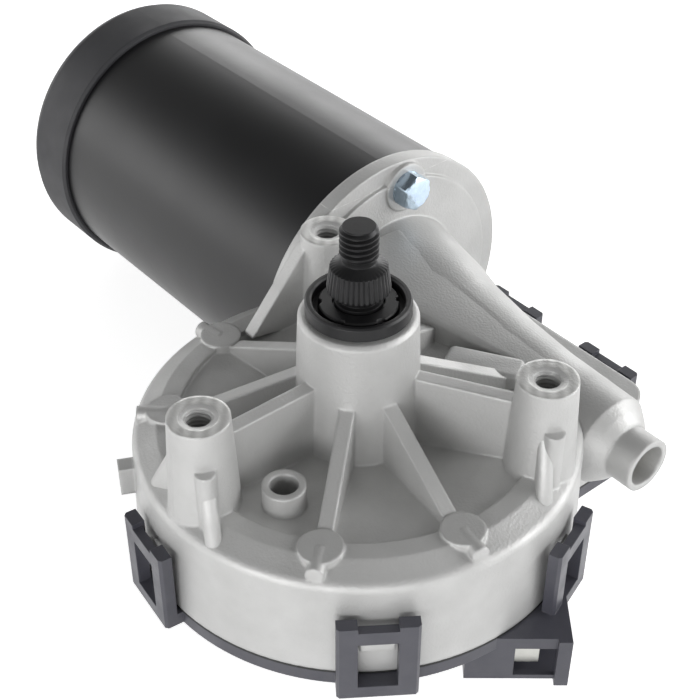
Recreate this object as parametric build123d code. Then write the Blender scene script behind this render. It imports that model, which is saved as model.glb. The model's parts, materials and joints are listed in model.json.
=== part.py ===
from build123d import *
import os
from math import cos, pi, radians, sin, tan

# Geared wiper motor. Millimetres. Origin on the output shaft's axis, in the plane of the three
# mounting faces; +Z along the output shaft; the armature and its worm lie along X.
# A name that ends in X, Y or Z is a place on that axis, and one that ends in R is a radius.

# ---- Clearances ----
RUNNING_FIT = 0.03        # radial running clearance of a shaft in its bush
RUNNING_GAP = 0.3         # between bodies that move past each other
MOTOR_CLEARANCE = 0.6     # between the motor flange and what is cut back round it
SINK = 1.0                # how far one form of a casting runs into the next

# ---- Worm gear ----
MODULE = 1.25
WHEEL_TEETH = 62
WORM_PITCH_R = 5.75
PRESSURE_ANGLE = 20
DEDENDUM = 1.25           # depth of a tooth under the pitch circle, in modules
TOOTH_RELIEF = 0.10       # taken off each flank of each tooth
TOOTH_SINK = 0.3
ROOT_EASE = 0.8           # share of the straight flank's spread kept at a wheel tooth's root
THREAD_SINK = 0.15
WORM_Z = -31.0            # height of the worm's axis and of the middle of the wheel
WORM_TURNS = 7
WORM_RUNOUT = 2.0         # plain core beyond each end of the thread
WHEEL_FACE = 8.0
WHEEL_RIM = 4.0           # rim under the roots of the teeth
WHEEL_WEB = 3.4
HUB_R = 13.0
HUB_FLANGE = 1.2
HUB_FLANGE_OUT = 3.0
HUB_NECK = 4.0            # wall of the hub at the top of the wheel
DISC_WIDTH = 11.0         # parking disc, from its inner to its outer edge
DISC_MARGIN = 2.2         # between the parking disc and the rim of the wheel
DISC_THICKNESS = 0.6
DISC_NOTCH = 22.0         # width of the notch for the park position, at the disc's edge

# ---- Mounting bosses ----
MOUNT_R = 40.0            # radius of the circle through the three mounting bosses
MOUNT_ANGLES = (30, 150, 270)
MOUNT_HOLE_R = 2.85       # M6 thread, at its mean radius
MOUNT_HOLE_DEPTH = 16.0
MOUNT_LEAD_IN = 0.45      # depth of the shallow countersink at the mouth of the thread
MOUNT_LEAD_IN_WIDTH = 1.2
BOSS_TOP_R = 6.3
BOSS_FOOT_R = 7.6
BOSS_EDGE = 0.8           # between the foot of a boss and the shoulder's edge
BOSS_PAD_R = 2.1          # half-round ejector column on the flank of a boss
BOSS_PAD_DROP = 8.5       # from the mounting face down to its top
BOSS_PAD_OUT = 6.7        # from the boss's axis to its own
BOSS_PAD_ANGLE = -28

# ---- Roof and wall of the gear housing ----
WALL = 3.4
ROOF_THICKNESS = 2.6
HEADROOM = 0.5            # between the wheel and the roof
ROOF_RISE = 2.0           # how far the roof climbs from the tower to the ring
RING_HEIGHT = 3.3         # of the ring over the roof beside the tower
RING_IN = 1.2             # from the circle of the bosses in to the ring's inner edge
RING_OUT = 3.0            # and out to its outer edge
RING_BEVEL = 2.6
RING_BEVEL_RISE = 1.4
SHOULDER_RISE = 0.5
SHOULDER_ROUND = 2.2
WALL_DRAFT = 0.7          # how much the wall widens down to the joint face
SUMP = 11.3               # between the wheel and the joint face
RIB_THICKNESS = 3.2
RIB_ROOT = 0.8
TALL_RIB_RISE = 17.3      # over the roof, towards each mounting boss
LOW_RIB_ANGLES = (-50, -10, 70, 110, 190, 230)
LOW_RIB_RISE = 16.5       # at the tower
LOW_RIB_END = 1.8         # from its low end to the ring's inner edge
NODE_PAD_R = 4.6
NODE_PAD_RISE = 0.7
NODE_PAD_DEPTH = 3.3
NODE_PEG_R = 1.9
NODE_PEG_LENGTH = 6.5
STOP_ANGLE = -116.5       # cast stop on the wall
STOP_OUT = 3.4
STOP_WIDTH = 3.6
STOP_HEIGHT = 7.0
STOP_DROP = 1.8           # from the shoulder down to its top

# ---- Tower, shaft bushes and collar ----
TOWER_TOP_Z = 6.2
TOWER_DRAFT = 1.1
TOWER_CHAMFER = 0.8
TOWER_LEDGE = 1.5         # ledge round the collar
BUSH_WALL = 3.0
BUSH_LENGTH = 9.0
BUSH_INSET = 0.5
SEAL_HEIGHT = 2.0
NECK_WALL = 1.9           # wall of the neck that carries the collar
NECK_HEIGHT = 0.5
COLLAR_LIP = 1.1          # how far the collar overhangs its neck
COLLAR_SEAT = 0.6
COLLAR_HEIGHT = 3.03
COLLAR_WALL = 1.5
COLLAR_FLOOR = 0.8
COLLAR_EDGE = 0.5
COLLAR_SLEEVE = 1.1
COLLAR_SLEEVE_DROP = 0.6
COLLAR_WINDOWS = 6
COLLAR_WINDOW_WIDTH = 2.6
RETAINER = 1.0
RETAINER_WIDTH = 2.0
RETAINER_GAP = 4.8

# ---- Output shaft ----
SHAFT_R = 5.0
SHAFT_CHAMFER = 0.6
SHAFT_BELOW = 2.6         # how far the shaft reaches below the wheel
STUD_R = 4.0              # M8 thread, drawn at its major radius
STUD_LENGTH = 6.85
STUD_CHAMFER = 0.9
CONE_GAP = 2.27           # between the collar and the knurled cone
CONE_UNDERCUT = 2.4
CONE_HEIGHT = 5.8
CONE_LEAD = 2.2
CONE_FLARE = 1.6          # how much wider than the shaft the foot of the cone is
CONE_TAPER = 0.7

# ---- Small tube on the roof ----
PILOT_R = 4.5
PILOT_WALL = 1.5
PILOT_INSET = 9.8         # from the circle of the bosses in to the tube's axis
PILOT_ANGLE = -69
PILOT_HEIGHT = 6.9
PILOT_DEPTH = 8.0

# ---- Motor flange and motor ----
FLANGE_INSET = 3.7        # from the shoulder back to the joint of tube and flange
FLANGE_THICKNESS = 4.2
FLANGE_LIP = 0.75         # how far the flange overhangs the tube
FLANGE_STEP = 1.0
FLANGE_STEP_IN = 3.85
SPIGOT_LENGTH = 3.0
SPIGOT_WALL = 3.0
TUBE_R = 35.45
TUBE_WALL = 2.0
TUBE_LENGTH = 106.9
CAP_DEPTH = 17.0
CAP_WALL = 1.55
CAP_END_WALL = 2.0
CAP_LIP_CHAMFER = 0.7
CAP_ROUND = 2.6
CAP_ROUND_STEP = 0.75
BOLT_R = 2.5
BOLT_HOLE_GAP = 0.2
BOLT_INSET = 3.95         # from the bore of the tube in to the bolts' circle
BOLT_ANGLE = 83           # of the upper bolt, from +Y towards +Z
BOLT_HEAD_AF = 8.0
BOLT_HEAD = 4.2
BOLT_WASHER_R = 5.4
BOLT_WASHER = 1.1
BOLT_PAD = 0.4
BOLT_PAD_MARGIN = 0.8
NUT_WALL = 1.4
NUT_HEIGHT = 5.0
MAGNET_THICKNESS = 6.8
MAGNET_ARC = 60
MAGNET_LENGTH = 52.0
AIR_GAP = 0.85
CORE_SETBACK = 33.3       # from the mouth of the tube to the core
CORE_LENGTH = 44.0
CORE_SLOTS = 12
SLOT_WIDTH = 5.0
SLOT_FOOT_R = 13.5
SLOT_MOUTH = 2.4
SLOT_LIP = 1.8
SLOT_LINER = 0.15
WINDING_OVERHANG = 7.5
WINDING_INSET = 2.2
WINDING_ROUND = 3.0
ARM_SHAFT_R = 4.0
ARM_SHAFT_TAIL = 2.6      # from the inside of the tube's end wall to the shaft's end
COMMUTATOR_R = 11.0
COMMUTATOR_LENGTH = 13.0
COMMUTATOR_GAP = 3.5      # between the winding and the commutator
COMMUTATOR_BARS = 12
BAR_GROOVE = 0.7
BAR_GROOVE_DEPTH = 1.2
RISER = 2.0
RISER_HEIGHT = 1.6
BEARING_R = 11.0
BEARING_WIDTH = 7.0
BEARING_RING = 2.0
BEARING_RECESS = 0.5
REAR_BUSH_R = 7.0
REAR_BUSH_LENGTH = 8.0
BRUSH_PLATE = 3.0
BRUSH_PLATE_GAP = 1.5     # between the commutator's front end and the brush plate
BRUSH_WIDTH = 6.0
BRUSH_HEIGHT = 8.0
BRUSH_LENGTH = 11.0
BRUSH_BOX_WALL = 1.0
BRUSH_BOX_GAP = 2.0       # between the commutator and a brush box
SPRING_SPACE = 3.2
SPRING_R = 2.2
SPRING_WIRE_R = 0.35
SPRING_TURNS = 3

# ---- Worm tunnel, vent pipe and rear block ----
WORM_BORE_R = 8.2
TUNNEL_FOOT_R = 21.0      # at the motor flange
TUNNEL = ((-30.0, 19.0), (-22.0, 17.4), (-15.0, 15.4), (-1.0, 13.1), (13.0, 11.6), (33.5, 10.7))
TUNNEL_END_X = 38.0
TUNNEL_NOSE = 2.0
PIPE_R = 6.3
PIPE_WALL = 1.45
PIPE_LENGTH = 6.3
PIPE_FOOT = 0.4
END_BUSH_X = 24.0
END_BUSH_LENGTH = 7.0
END_BUSH_R = 6.0
THRUST_PAD = 3.0
BREATHER_R = 1.0
BLOCK_RIGHT_X = 29.5
BLOCK_CLEARANCE = 1.9     # between the motor flange and the rear block
BLOCK_BEHIND = 18.5       # from the worm's axis to the back of the block
BLOCK_RISE = 1.0          # of the block over the worm's axis
BLOCK_CORNER_R = 6.0
BRIDGE_LENGTH = 4.9       # cast bridge between the flange and the block
BRIDGE_TO_SHAFT = 22.0
BRIDGE_TO_BACK = 16.0
BRIDGE_LIFT = 3.0
GUSSET_ANGLES = (25, 58, 155)
GUSSET_THICKNESS = 2.6
GUSSET_LENGTH = 18.5
GUSSET_ROOT_R = 14.0
GUSSET_FLANGE_R = 18.5
GUSSET_END_R = 16.5
WING_THICKNESS = 3.2      # web that falls from the boss beside the motor to the ring
WING_IN = 2.0
WING_TOP_DROP = 0.6
WING_SHOULDER = 6.0
WING_SHOULDER_DROP = 2.5
WING_REACH = 22.0
WING_ROOT = 4.0
BOSS_WEB_DROP = 3.0       # web from the same boss to the motor flange

# ---- Cover, clips and connector ----
GASKET = 0.6
GASKET_WIDTH = 2.4
COVER_THICKNESS = 3.1
COVER_RIM = 3.0           # width of the cover's flat rim
COVER_RECESS = 0.9
CLIP_WIDTH = 16.4
CLIP_LEG = 4.2
CLIP_THICKNESS = 2.8
CLIP_GAP = 0.5            # between a clip and the housing wall
CLIP_BAR = 3.4
CLIP_BAR_INSET = 0.8
CLIP_CORNER = 1.1         # the legs end this far above the cross bar
CLIP_CHAMFER = 0.6
CLIP_ROOT = 3.0
CLIP_ANGLES = (-97.0, -35.5, 19.0)
REAR_CLIP_X = (-15.7, 14.7)
LATCH_WIDTH = 7.0
LATCH_HEIGHT = 4.6
LATCH_DEPTH = 2.0
LATCH_FLAT = 1.6
LATCH_SLOPE = 1.8
LATCH_UNDER = 1.2
LATCH_GAP = 1.4           # between a clip's bar and the lug under it
SOCKET_ANGLE = 50         # direction in which the connector's mouth points
SOCKET_START = 22.3       # along that direction, from the shaft axis
SOCKET_LENGTH = 21.7
SOCKET_INSET = 9.1        # from the rim's radius to the hood's outer wall
SOCKET_WIDTH = 13.4
SOCKET_HEIGHT = 12.5
SOCKET_WALL = 1.2
SOCKET_COLLAR = 2.9
SOCKET_COLLAR_OUT = 1.0
SOCKET_SOLID = 10.2       # solid stretch behind the cavity
DRAIN_LENGTH = 2.0
DRAIN_WIDTH = 4.0
DRAIN_IN = 1.8
TERMINALS = 4
TERMINAL_WIDTH = 0.8
TERMINAL_HEIGHT = 5.0
TERMINAL_REACH = 5.4
CONTACT_ANGLE = 200       # parking contacts
CONTACT_EDGE = 2.0
CONTACT_WIDTH = 2.4
CONTACT_THICKNESS = 0.5
CONTACT_FOOT = 8.0
CONTACT_RUN = 6.0
CONTACT_TIP = 3.0
CONTACT_HOOK = 1.2

# ---- Derived places ----
WHEEL_PITCH_R = MODULE * WHEEL_TEETH / 2
WHEEL_TIP_R = WHEEL_PITCH_R + MODULE
WHEEL_ROOT_R = WHEEL_PITCH_R - DEDENDUM * MODULE
WHEEL_TOP_Z = WORM_Z + WHEEL_FACE / 2
WHEEL_BOTTOM_Z = WORM_Z - WHEEL_FACE / 2
WEB_TOP_Z = WORM_Z + WHEEL_WEB / 2
WEB_BOTTOM_Z = WORM_Z - WHEEL_WEB / 2
WORM_Y = WHEEL_PITCH_R + WORM_PITCH_R
WORM_LEAD = pi * MODULE
WORM_HALF_LENGTH = WORM_TURNS * WORM_LEAD / 2
WORM_TIP_R = WORM_PITCH_R + MODULE
WORM_ROOT_R = WORM_PITCH_R - DEDENDUM * MODULE
LEAD_SLOPE = WORM_LEAD / (2 * pi * WORM_PITCH_R)
FLANK_SLOPE = tan(radians(PRESSURE_ANGLE))
DISC_OUTER_R = WHEEL_ROOT_R - WHEEL_RIM - DISC_MARGIN
DISC_INNER_R = DISC_OUTER_R - DISC_WIDTH
DISC_BOTTOM_Z = WEB_BOTTOM_Z - DISC_THICKNESS

CHAMBER_TOP_Z = WHEEL_TOP_Z + HEADROOM
ROOF_Z = CHAMBER_TOP_Z + ROOF_THICKNESS
RING_TOP_Z = ROOF_Z + RING_HEIGHT
RING_INNER_R = MOUNT_R - RING_IN
RING_OUTER_R = MOUNT_R + RING_OUT
SHOULDER_R = MOUNT_R + BOSS_FOOT_R + BOSS_EDGE
SHOULDER_Z = ROOF_Z + SHOULDER_RISE
RIM_R = SHOULDER_R + WALL_DRAFT
CHAMBER_R = SHOULDER_R - WALL
JOINT_Z = WHEEL_BOTTOM_Z - SUMP
COVER_TOP_Z = JOINT_Z - GASKET
COVER_BOTTOM_Z = COVER_TOP_Z - COVER_THICKNESS
COVER_FLOOR_Z = COVER_TOP_Z - COVER_RECESS

TOWER_BORE_R = SHAFT_R + BUSH_WALL
NECK_R = TOWER_BORE_R + NECK_WALL
NECK_TOP_Z = TOWER_TOP_Z + NECK_HEIGHT
COLLAR_R = NECK_R + COLLAR_LIP
COLLAR_TOP_Z = NECK_TOP_Z + COLLAR_HEIGHT
TOWER_TOP_R = COLLAR_R + TOWER_LEDGE
TOWER_FOOT_R = TOWER_TOP_R + TOWER_DRAFT
LOWER_BUSH_Z = CHAMBER_TOP_Z + BUSH_INSET
CONE_FOOT_Z = COLLAR_TOP_Z + CONE_GAP
CONE_TOP_Z = CONE_FOOT_Z + CONE_HEIGHT
CONE_FOOT_R = SHAFT_R + CONE_FLARE
CONE_TOP_R = CONE_FOOT_R - CONE_TAPER
STUD_FOOT_Z = CONE_TOP_Z + CONE_LEAD
STUD_TOP_Z = STUD_FOOT_Z + STUD_LENGTH

TUBE_FRONT_X = FLANGE_INSET - SHOULDER_R
FLANGE_FRONT_X = TUBE_FRONT_X + FLANGE_THICKNESS
STEP_FRONT_X = FLANGE_FRONT_X + FLANGE_STEP
BOLT_SEAT_X = STEP_FRONT_X + BOLT_PAD
TUBE_REAR_X = TUBE_FRONT_X - TUBE_LENGTH
TUBE_FLOOR_X = TUBE_REAR_X + TUBE_WALL
CAP_REAR_X = TUBE_REAR_X - CAP_END_WALL
CAP_FRONT_X = CAP_REAR_X + CAP_DEPTH
TUBE_BORE_R = TUBE_R - TUBE_WALL
FLANGE_R = TUBE_R + FLANGE_LIP
CAP_R = TUBE_R + CAP_WALL
BOLT_CIRCLE_R = TUBE_BORE_R - BOLT_INSET
BOLT_ANGLES = (BOLT_ANGLE, BOLT_ANGLE + 180)
BRUSH_ANGLES = (BOLT_ANGLE + 90, BOLT_ANGLE + 270)
MAGNET_ANGLES = [BOLT_ANGLE + 45 + 90 * count for count in range(4)]
CORE_R = TUBE_BORE_R - MAGNET_THICKNESS - AIR_GAP
CORE_FRONT_X = TUBE_FRONT_X - CORE_SETBACK
CORE_REAR_X = CORE_FRONT_X - CORE_LENGTH
MAGNET_FRONT_X = CORE_FRONT_X + (MAGNET_LENGTH - CORE_LENGTH) / 2
COMMUTATOR_REAR_X = CORE_FRONT_X + WINDING_OVERHANG + COMMUTATOR_GAP
COMMUTATOR_FRONT_X = COMMUTATOR_REAR_X + COMMUTATOR_LENGTH
BRUSH_PLATE_X = COMMUTATOR_FRONT_X + BRUSH_PLATE_GAP
BRUSH_START_R = COMMUTATOR_R + RUNNING_GAP
BRUSH_BOX_R = COMMUTATOR_R + BRUSH_BOX_GAP
BRUSH_BOX_END_R = BRUSH_BOX_R + BRUSH_LENGTH + SPRING_SPACE
END_BUSH_END_X = END_BUSH_X + END_BUSH_LENGTH
PAD_END_X = END_BUSH_END_X + THRUST_PAD
PIPE_END_X = TUNNEL_END_X + PIPE_LENGTH
PIPE_BORE_R = PIPE_R - PIPE_WALL
BLOCK_LEFT_X = FLANGE_FRONT_X + BLOCK_CLEARANCE
BLOCK_BACK_Y = WORM_Y + BLOCK_BEHIND
BLOCK_TOP_Z = WORM_Z + BLOCK_RISE
CLIP_BAR_TOP_Z = BLOCK_TOP_Z - CLIP_CORNER
CLIP_BAR_LOW_Z = CLIP_BAR_TOP_Z - CLIP_BAR
PILOT_TOP_Z = ROOF_Z + PILOT_HEIGHT

SOCKET_OUT = RIM_R - SOCKET_INSET
SOCKET_IN = SOCKET_OUT - SOCKET_WIDTH
SOCKET_END = SOCKET_START + SOCKET_LENGTH
SOCKET_TOP_Z = COVER_BOTTOM_Z + COVER_THICKNESS / 2
SOCKET_BOTTOM_Z = COVER_BOTTOM_Z + COVER_THICKNESS - SOCKET_HEIGHT
CAVITY_START = SOCKET_START + SOCKET_SOLID
CAVITY_ACROSS = (SOCKET_IN + SOCKET_WALL, SOCKET_OUT - SOCKET_WALL)
CAVITY_HEIGHTS = (SOCKET_BOTTOM_Z + SOCKET_WALL, COVER_BOTTOM_Z)

WORM_CENTRE = Pos(0, WORM_Y, WORM_Z)
WORM_AXIS = Axis((0, WORM_Y, WORM_Z), (1, 0, 0))
ACROSS_WORM = Plane(origin=(0, WORM_Y, WORM_Z), x_dir=(0, 1, 0), z_dir=(1, 0, 0))
ALONG_WORM = Plane(origin=(0, WORM_Y, WORM_Z), x_dir=(1, 0, 0), z_dir=(0, -1, 0))


# ---- Helpers ----
def polygon(points):
    """A flat face with straight sides through the points."""
    return make_face(Polyline(*points, close=True))


def ring(outer, inner):
    """A flat disc, with a round hole where inner isn't 0."""
    return Circle(outer) - Circle(inner) if inner else Circle(outer)


def turned_z(points):
    """Turn a closed outline of (radius, z) points about the output shaft's axis."""
    return revolve(Plane.XZ * polygon(points), Axis.Z)


def disc_z(outer, inner, low, high):
    """A disc or ring about Z."""
    return extrude(Plane.XY.offset(low) * ring(outer, inner), high - low)


def turned_x(points):
    """Turn a closed outline of (x, radius) points about the worm's axis."""
    return revolve(ALONG_WORM * polygon(points), WORM_AXIS)


def disc_x(outer, inner, start, end):
    """A disc or ring about the worm's axis."""
    return extrude(ACROSS_WORM.offset(start) * ring(outer, inner), end - start)


def rod_x(radius, start, end):
    """A round rod along X, through the origin of Y and Z."""
    return extrude(Plane.YZ.offset(start) * Circle(radius), end - start)


def block(x, y, z):
    """A box from its three (low, high) ranges."""
    size = [high - low for low, high in (x, y, z)]
    middle = [(low + high) / 2 for low, high in (x, y, z)]
    return Pos(*middle) * Box(*size)


def around_z(angles, radius, shape):
    """Copies of a shape, each turned about Z and pushed out by radius along its turned X axis."""
    return [Rot(0, 0, angle) * Pos(radius, 0, 0) * shape for angle in angles]


def around_x(angles, radius, shape):
    """Copies of a shape round the worm's axis; at angle 0 a copy lies radius out towards +Y."""
    return [WORM_CENTRE * Rot(angle, 0, 0) * Pos(0, radius, 0) * shape for angle in angles]


def even_angles(count):
    """The angles of a number of places spread evenly round a circle."""
    return [360 / count * number for number in range(count)]


def radial_web(angle, points, thickness):
    """A flat web in the half plane at the angle, from (radius, z) points."""
    flat = Plane.XZ * polygon(points)
    return Rot(0, 0, angle) * extrude(flat, thickness / 2, both=True)


# ---- Gear housing ----
def drum():
    """The round part of the housing: roof dished towards the tower, ring, shoulder and wall."""
    shell = turned_z([
        (0, JOINT_Z), (RIM_R, JOINT_Z), (SHOULDER_R, SHOULDER_Z),
        (RING_OUTER_R + RING_BEVEL, SHOULDER_Z + RING_BEVEL_RISE), (RING_OUTER_R, RING_TOP_Z),
        (RING_INNER_R, RING_TOP_Z), (RING_INNER_R, ROOF_Z + ROOF_RISE), (TOWER_FOOT_R, ROOF_Z), (0, ROOF_Z)])
    shoulder = [edge for edge in shell.edges().filter_by(GeomType.CIRCLE)
                if abs(edge.radius - SHOULDER_R) < 0.01 and abs(edge.center().Z - SHOULDER_Z) < 0.01]
    return fillet(shoulder, SHOULDER_ROUND)


def block_outline(inset=0.0):
    """Plan of the rear block, rounded at its two back corners."""
    left, right, back = BLOCK_LEFT_X + inset, BLOCK_RIGHT_X - inset, BLOCK_BACK_Y - inset
    face = polygon([(left, 0), (right, 0), (right, back), (left, back)])
    corners = [v for v in face.vertices() if abs(v.Y - back) < 0.01]
    return fillet(corners, BLOCK_CORNER_R)


def cover_outline(inset=0.0):
    """Plan shared by the joint face, the gasket and the cover."""
    return Circle(RIM_R - inset) + block_outline(inset)


def motor_relief(front_x):
    """Round cut that keeps a piece clear of the motor tube and its flange, back from front_x."""
    return disc_x(FLANGE_R + MOTOR_CLEARANCE, 0, -RIM_R - SINK, front_x)


def clear_of_motor(shape):
    """Cut back a piece of the cover's side round the motor flange."""
    return shape - motor_relief(BLOCK_LEFT_X - RUNNING_GAP)


def mounting_bosses():
    """Three tapered columns, each with a half-round ejector column on its flank."""
    foot_z = SHOULDER_Z - 2 * SINK
    column = Pos(0, 0, foot_z / 2) * Cone(BOSS_FOOT_R, BOSS_TOP_R, -foot_z)
    pad = Pos(BOSS_PAD_OUT, 0, 0) * disc_z(BOSS_PAD_R, 0, foot_z, -BOSS_PAD_DROP)
    bosses = around_z(MOUNT_ANGLES, MOUNT_R, column)
    for angle in MOUNT_ANGLES:
        bosses += around_z([angle], MOUNT_R, Rot(0, 0, BOSS_PAD_ANGLE - angle) * pad)
    return bosses


def mounting_holes():
    """Blind threaded holes with a small lead-in."""
    return around_z(MOUNT_ANGLES, MOUNT_R, turned_z([
        (0, -MOUNT_HOLE_DEPTH), (MOUNT_HOLE_R, -MOUNT_HOLE_DEPTH), (MOUNT_HOLE_R, -MOUNT_LEAD_IN),
        (MOUNT_HOLE_R + MOUNT_LEAD_IN_WIDTH, 0), (0, 0)]))


def roof_ribs():
    """Tall ribs from the tower to the bosses, sloping ones to the ring between them."""
    start_r = TOWER_BORE_R + SINK
    root_z = ROOF_Z - RIB_ROOT
    tall_z = ROOF_Z + TALL_RIB_RISE
    end_r = RING_INNER_R + SINK
    tall = [(start_r, root_z), (MOUNT_R, root_z), (MOUNT_R, tall_z), (start_r, tall_z)]
    low = [(start_r, root_z), (end_r, root_z), (end_r, RING_TOP_Z),
           (RING_INNER_R - LOW_RIB_END, RING_TOP_Z), (start_r, ROOF_Z + LOW_RIB_RISE)]
    ribs = [radial_web(angle, tall, RIB_THICKNESS) for angle in MOUNT_ANGLES]
    ribs += [radial_web(angle, low, RIB_THICKNESS) for angle in LOW_RIB_ANGLES]
    return ribs


def rib_nodes():
    """A round pad where each sloping rib meets the ring, with a half-round peg running outwards."""
    pad = disc_z(NODE_PAD_R, 0, RING_TOP_Z - NODE_PAD_DEPTH, RING_TOP_Z + NODE_PAD_RISE)
    peg = Pos(0, 0, RING_TOP_Z - SINK) * rod_x(NODE_PEG_R, 0, NODE_PEG_LENGTH)
    return around_z(LOW_RIB_ANGLES, (RING_INNER_R + RING_OUTER_R) / 2, pad + peg)


def tower():
    """The column round the output shaft, with a neck for the collar."""
    root_z = ROOF_Z - SINK
    return turned_z([
        (0, root_z), (TOWER_FOOT_R, root_z), (TOWER_FOOT_R, ROOF_Z),
        (TOWER_TOP_R, TOWER_TOP_Z - TOWER_CHAMFER), (TOWER_TOP_R - TOWER_CHAMFER, TOWER_TOP_Z),
        (NECK_R, TOWER_TOP_Z), (NECK_R, NECK_TOP_Z), (0, NECK_TOP_Z)])


def pilot_tube():
    """Short tube that stands on the roof beside a mounting boss."""
    return around_z([PILOT_ANGLE], MOUNT_R - PILOT_INSET, disc_z(PILOT_R, 0, ROOF_Z - SINK, PILOT_TOP_Z))


def pilot_hole():
    hole = disc_z(PILOT_R - PILOT_WALL, 0, PILOT_TOP_Z - PILOT_DEPTH, PILOT_TOP_Z)
    return around_z([PILOT_ANGLE], MOUNT_R - PILOT_INSET, hole)


def worm_tunnel():
    """Tapered barrel round the worm, ending in the vent pipe."""
    end_r = TUNNEL[-1][1] - TUNNEL_NOSE
    barrel = turned_x([
        (FLANGE_FRONT_X, 0), (FLANGE_FRONT_X, TUNNEL_FOOT_R), (STEP_FRONT_X, TUNNEL_FOOT_R), *TUNNEL,
        (TUNNEL_END_X - TUNNEL_NOSE, end_r), (TUNNEL_END_X, PIPE_R + PIPE_FOOT), (TUNNEL_END_X, 0)])
    return barrel + disc_x(PIPE_R, 0, TUNNEL_END_X, PIPE_END_X)


def motor_flange():
    """Round plate that closes the motor tube, with a raised disc, bolt pads and a locating spigot."""
    plate = disc_x(FLANGE_R, 0, TUBE_FRONT_X, FLANGE_FRONT_X)
    plate += disc_x(TUBE_R - FLANGE_STEP_IN, 0, FLANGE_FRONT_X, STEP_FRONT_X)
    pad = rod_x(BOLT_WASHER_R + BOLT_PAD_MARGIN, FLANGE_FRONT_X, BOLT_SEAT_X)
    plate += around_x(BOLT_ANGLES, BOLT_CIRCLE_R, pad)
    spigot_r = TUBE_BORE_R - RUNNING_FIT
    return plate + disc_x(spigot_r, spigot_r - SPIGOT_WALL, TUBE_FRONT_X - SPIGOT_LENGTH, TUBE_FRONT_X)


def flange_gussets():
    """Webs that brace the motor flange against the tunnel, the roof and the nearest boss."""
    end_x = FLANGE_FRONT_X + GUSSET_LENGTH
    outline = polygon([(FLANGE_FRONT_X, GUSSET_FLANGE_R), (FLANGE_FRONT_X, GUSSET_ROOT_R),
                       (end_x, GUSSET_ROOT_R), (end_x, GUSSET_END_R)])
    brace = extrude(Plane.XY * outline, GUSSET_THICKNESS / 2, both=True)
    gussets = around_x(GUSSET_ANGLES, 0, brace)
    boss_x, boss_y = MOUNT_R * cos(radians(150)), MOUNT_R * sin(radians(150))
    wing = Plane.YZ.offset(boss_x - WING_IN) * polygon([
        (boss_y, -WING_TOP_DROP), (boss_y - WING_SHOULDER, -WING_SHOULDER_DROP),
        (boss_y - WING_REACH, RING_TOP_Z), (boss_y, RING_TOP_Z - WING_ROOT)])
    gussets.append(extrude(wing, WING_THICKNESS / 2, both=True))
    half = WING_THICKNESS / 2
    gussets.append(block((FLANGE_FRONT_X - SINK, boss_x), (boss_y - half, boss_y + half),
                         (SHOULDER_Z, -BOSS_WEB_DROP)))
    return gussets


def latch_lugs():
    """Sloped lugs on the wall; one snaps into the window of each clip."""
    top_z = CLIP_BAR_LOW_Z - LATCH_GAP + CLIP_CORNER
    low_z = top_z - LATCH_HEIGHT
    rise = LATCH_DEPTH - LATCH_FLAT
    outline = Plane.XZ * polygon([
        (-2 * SINK, low_z), (-2 * SINK, top_z), (rise, top_z), (LATCH_DEPTH, top_z - LATCH_SLOPE),
        (LATCH_DEPTH, low_z + LATCH_UNDER), (rise, low_z)])
    lug = extrude(outline, LATCH_WIDTH / 2, both=True)
    rear = around_z([90], BLOCK_BACK_Y, lug)
    lugs = around_z(CLIP_ANGLES, SHOULDER_R + WALL_DRAFT / 2, lug)
    return lugs + [Pos(x, 0, 0) * copy for x in REAR_CLIP_X for copy in rear]


def wall_stop():
    """Short cast stop on the outside of the wall."""
    half = STOP_WIDTH / 2
    top_z = SHOULDER_Z - STOP_DROP
    reach = (SHOULDER_R - WALL + SINK, SHOULDER_R + STOP_OUT)
    stop = block(reach, (-half, half), (top_z - STOP_HEIGHT, top_z))
    return around_z([STOP_ANGLE], 0, stop)


def gear_chamber():
    """Hollow for the wheel, flat beside the motor flange, and the tower's bore above it."""
    chamber = disc_z(CHAMBER_R, 0, JOINT_Z, CHAMBER_TOP_Z)
    chamber -= block((-RIM_R, FLANGE_FRONT_X - SINK), (0, RIM_R), (JOINT_Z, CHAMBER_TOP_Z))
    return chamber + disc_z(TOWER_BORE_R, 0, CHAMBER_TOP_Z - SINK, NECK_TOP_Z)


def worm_bores():
    """Bearing seat, worm's clearance bore, end bush seat and the pipe's bore, in one line."""
    bearing_end = TUBE_FRONT_X + BEARING_WIDTH
    return [
        disc_x(BEARING_R, 0, TUBE_FRONT_X, bearing_end), disc_x(WORM_BORE_R, 0, bearing_end, END_BUSH_X),
        disc_x(END_BUSH_R, 0, END_BUSH_X, PAD_END_X), disc_x(PIPE_BORE_R, 0, PAD_END_X, PIPE_END_X)]


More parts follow.
